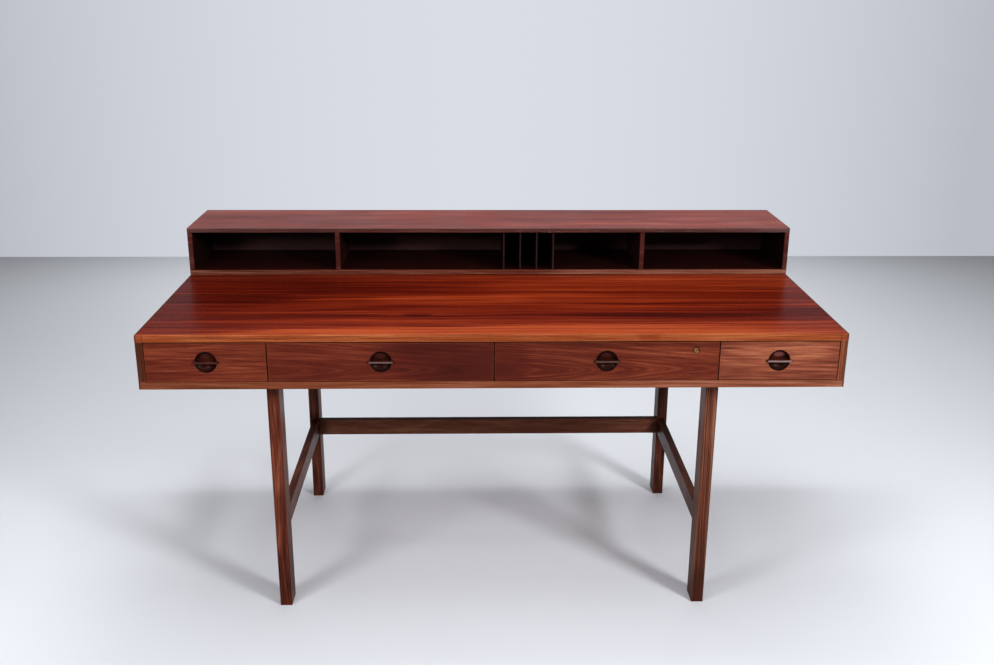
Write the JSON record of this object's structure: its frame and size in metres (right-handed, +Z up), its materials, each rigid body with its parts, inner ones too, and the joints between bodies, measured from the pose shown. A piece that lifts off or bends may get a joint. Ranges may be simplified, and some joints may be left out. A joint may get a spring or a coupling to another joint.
{
  "type": "partners desk",
  "caption": "Partners desk of dark wood: slab carcass with a row of flush drawers on two leg frames, and a hinged pigeonhole gallery that flips over the back to deepen the top.",
  "frame": {"origin": "on the floor, at the middle of the desk's bounding box, level with the undersides of the feet", "axes": "+X along the desk to the right of a person sitting at the drawers, +Y from the drawer fronts to the back, +Z up"},
  "size_m": [1.6, 0.7605, 0.852],
  "materials": {
    "desk_top": "satin oiled rosewood veneer, long dark streaks, paler solid lipping",
    "carcass": "satin oiled rosewood",
    "drawer_front": "satin oiled rosewood veneer, horizontal figure",
    "gallery": "satin oiled rosewood",
    "leg_frame": "satin oiled solid rosewood",
    "pull": "turned solid rosewood, nearly black in the dish",
    "drawer_lining": "plain lacquered hardwood",
    "lock_brass": "satin brass",
    "hinge_brass": "brushed brass"
  },
  "bodies": {
    "desk": {"desk_top": "desk_top", "desk_bottom": "carcass", "left_side_panel": "carcass", "right_side_panel": "carcass", "back_panel": "carcass", "partition_left": "carcass", "partition_centre": "carcass", "partition_right": "carcass", "front_left_leg": "leg_frame", "back_left_leg": "leg_frame", "front_right_leg": "leg_frame", "back_right_leg": "leg_frame", "left_top_rail": "leg_frame", "right_top_rail": "leg_frame", "left_stretcher": "leg_frame", "right_stretcher": "leg_frame", "long_stretcher": "leg_frame", "hinge_1_desk_leaf": "hinge_brass", "hinge_2_desk_leaf": "hinge_brass", "hinge_3_desk_leaf": "hinge_brass"},
    "gallery": {"gallery_top": "gallery", "gallery_bottom": "gallery", "gallery_left_end": "gallery", "gallery_right_end": "gallery", "gallery_back": "gallery", "gallery_divider_left": "gallery", "gallery_divider_right": "gallery", "letter_divider_1": "gallery", "letter_divider_2": "gallery", "letter_divider_3": "gallery", "letter_divider_4": "gallery", "hinge_1_gallery_leaf": "hinge_brass", "hinge_2_gallery_leaf": "hinge_brass", "hinge_3_gallery_leaf": "hinge_brass"},
    "drawer_1": {"drawer_1_front": "drawer_front", "drawer_1_left_side": "drawer_lining", "drawer_1_right_side": "drawer_lining", "drawer_1_back": "drawer_lining", "drawer_1_bottom": "drawer_lining", "drawer_1_pull": "pull"},
    "drawer_2": {"drawer_2_front": "drawer_front", "drawer_2_left_side": "drawer_lining", "drawer_2_right_side": "drawer_lining", "drawer_2_back": "drawer_lining", "drawer_2_bottom": "drawer_lining", "drawer_2_pull": "pull"},
    "drawer_3": {"drawer_3_front": "drawer_front", "drawer_3_left_side": "drawer_lining", "drawer_3_right_side": "drawer_lining", "drawer_3_back": "drawer_lining", "drawer_3_bottom": "drawer_lining", "drawer_3_pull": "pull", "lock_cylinder": "lock_brass"},
    "drawer_4": {"drawer_4_front": "drawer_front", "drawer_4_left_side": "drawer_lining", "drawer_4_right_side": "drawer_lining", "drawer_4_back": "drawer_lining", "drawer_4_bottom": "drawer_lining", "drawer_4_pull": "pull"},
    "lock_barrel": {"lock_plug": "lock_brass"}
  },
  "joints": [
    {"name": "gallery_flip", "type": "hinge", "parent": "desk", "child": "gallery", "pos_m": [0, 0.378, 0.7255], "axis": [-1, 0, 0], "range_deg": [0, 180]},
    {"name": "drawer_1_slide", "type": "slide", "parent": "desk", "child": "drawer_1", "axis": [0, -1, 0], "range_m": [0, 0.42]},
    {"name": "drawer_2_slide", "type": "slide", "parent": "desk", "child": "drawer_2", "axis": [0, -1, 0], "range_m": [0, 0.42]},
    {"name": "drawer_3_slide", "type": "slide", "parent": "desk", "child": "drawer_3", "axis": [0, -1, 0], "range_m": [0, 0.42]},
    {"name": "drawer_4_slide", "type": "slide", "parent": "desk", "child": "drawer_4", "axis": [0, -1, 0], "range_m": [0, 0.42]},
    {"name": "lock_turn", "type": "hinge", "parent": "drawer_3", "child": "lock_barrel", "pos_m": [0.456, -0.36, 0.6875], "axis": [0, 1, 0], "range_deg": [0, 90]}
  ]
}
